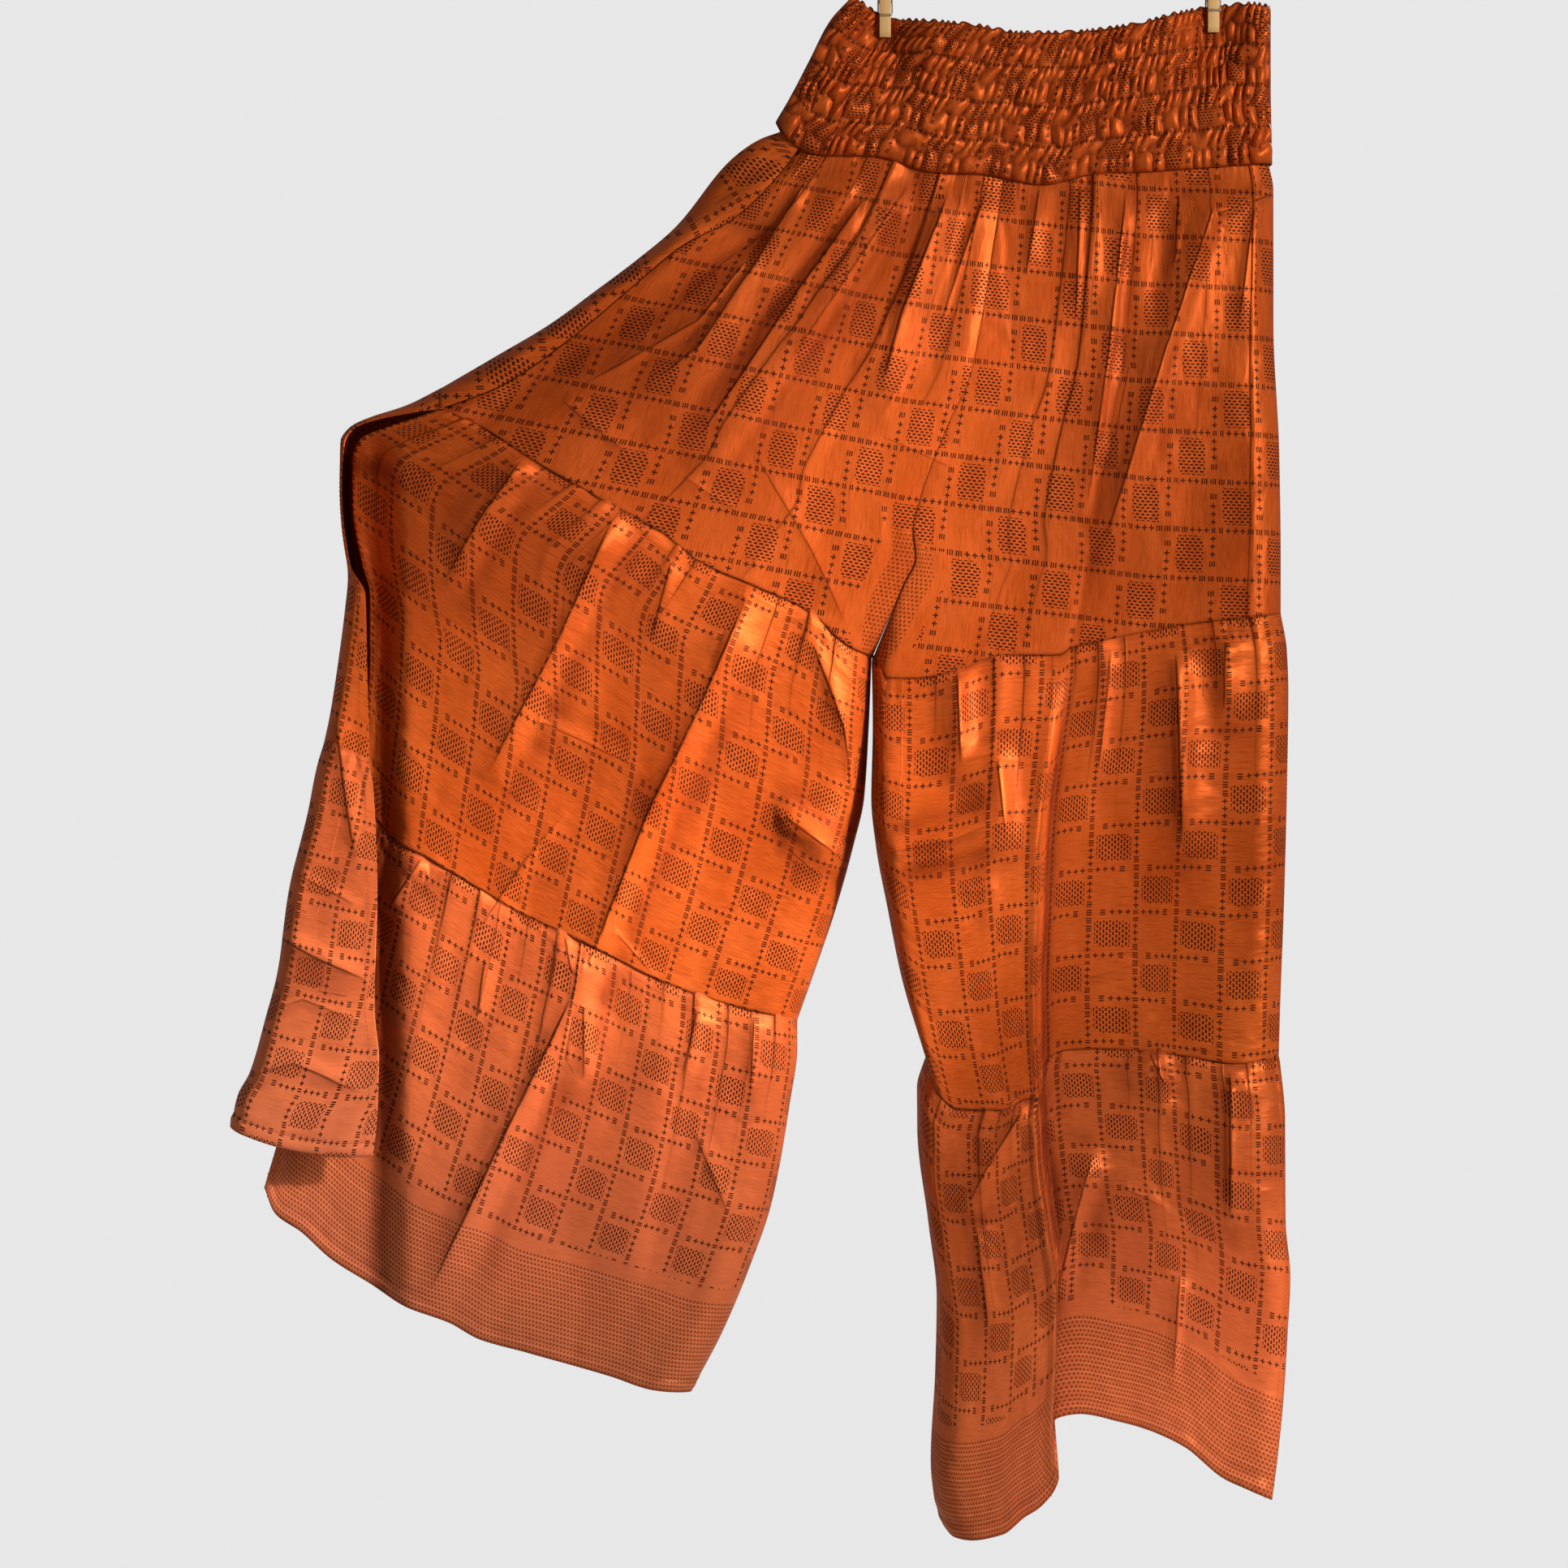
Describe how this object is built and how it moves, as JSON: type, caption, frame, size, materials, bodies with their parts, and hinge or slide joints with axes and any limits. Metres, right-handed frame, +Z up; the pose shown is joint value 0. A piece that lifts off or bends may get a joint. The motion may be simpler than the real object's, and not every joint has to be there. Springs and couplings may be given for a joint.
{
  "type": "tiered palazzo pants with two small wooden pegs",
  "caption": "Wide-leg tiered pants with a smocked elastic waist, hanging nearly flat from two small wooden pegs, one leg drawn out to the side.",
  "frame": {"origin": "midway between the two pegs, at the height where they hold the top of the waist, halfway between the front and the back layer of the cloth", "axes": "+Z up, front towards -Y, +X to the right of someone who looks at the front"},
  "size_m": [0.711, 0.0942, 1.0425],
  "materials": {
    "cloth": "light satin weave with slubs, printed",
    "wood": "plain smooth wood",
    "steel": "plain spring wire"
  },
  "bodies": {
    "root": {"waistband_front": "cloth", "waistband_back": "cloth", "tier_1_front_left": "cloth", "tier_1_front_right": "cloth", "tier_1_back_left": "cloth", "tier_1_back_right": "cloth", "tier_2_front_left": "cloth", "tier_2_front_right": "cloth", "tier_2_back_left": "cloth", "tier_2_back_right": "cloth", "tier_3_front_left": "cloth", "tier_3_front_right": "cloth", "tier_3_back_left": "cloth", "tier_3_back_right": "cloth", "peg_left_front_leg": "wood", "peg_left_back_leg": "wood", "peg_right_front_leg": "wood", "peg_right_back_leg": "wood", "peg_left_wire": "steel", "peg_left_coil": "steel", "peg_right_wire": "steel", "peg_right_coil": "steel"}
  },
  "joints": []
}
